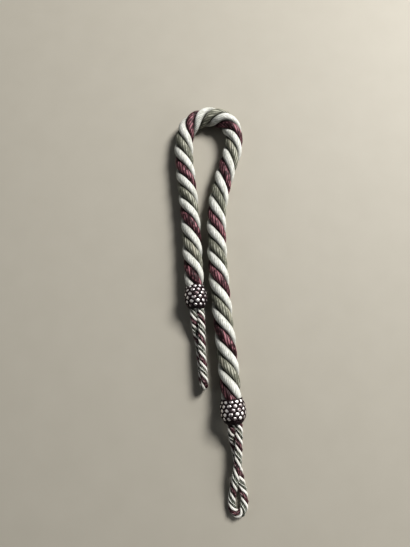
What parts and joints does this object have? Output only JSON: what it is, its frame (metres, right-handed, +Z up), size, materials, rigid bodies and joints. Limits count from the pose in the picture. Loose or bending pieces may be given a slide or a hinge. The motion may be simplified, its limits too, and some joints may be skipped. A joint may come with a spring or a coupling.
{
  "type": "rope curtain tieback with netted knots and cord loops",
  "caption": "Twisted rope curtain tieback bent into a horseshoe, lying flat, with a netted barrel knot and a thin cord loop at each end.",
  "frame": {"origin": "on the surface the tieback lies on, under the middle of its bounding box", "axes": "+Y up the two legs to the arch, +X to the right seen from above with the arch away, +Z up from the surface"},
  "size_m": [0.0816, 0.4529, 0.0266],
  "materials": {
    "rope_white": "matt cotton",
    "knot_net": "satin",
    "knot_floss": "satin",
    "loop_cord": "satin"
  },
  "bodies": {
    "root": {"rope": "rope_white", "knot_short": "knot_net", "knot_long": "knot_net", "loop_short": "loop_cord", "loop_long": "loop_cord"}
  },
  "joints": []
}
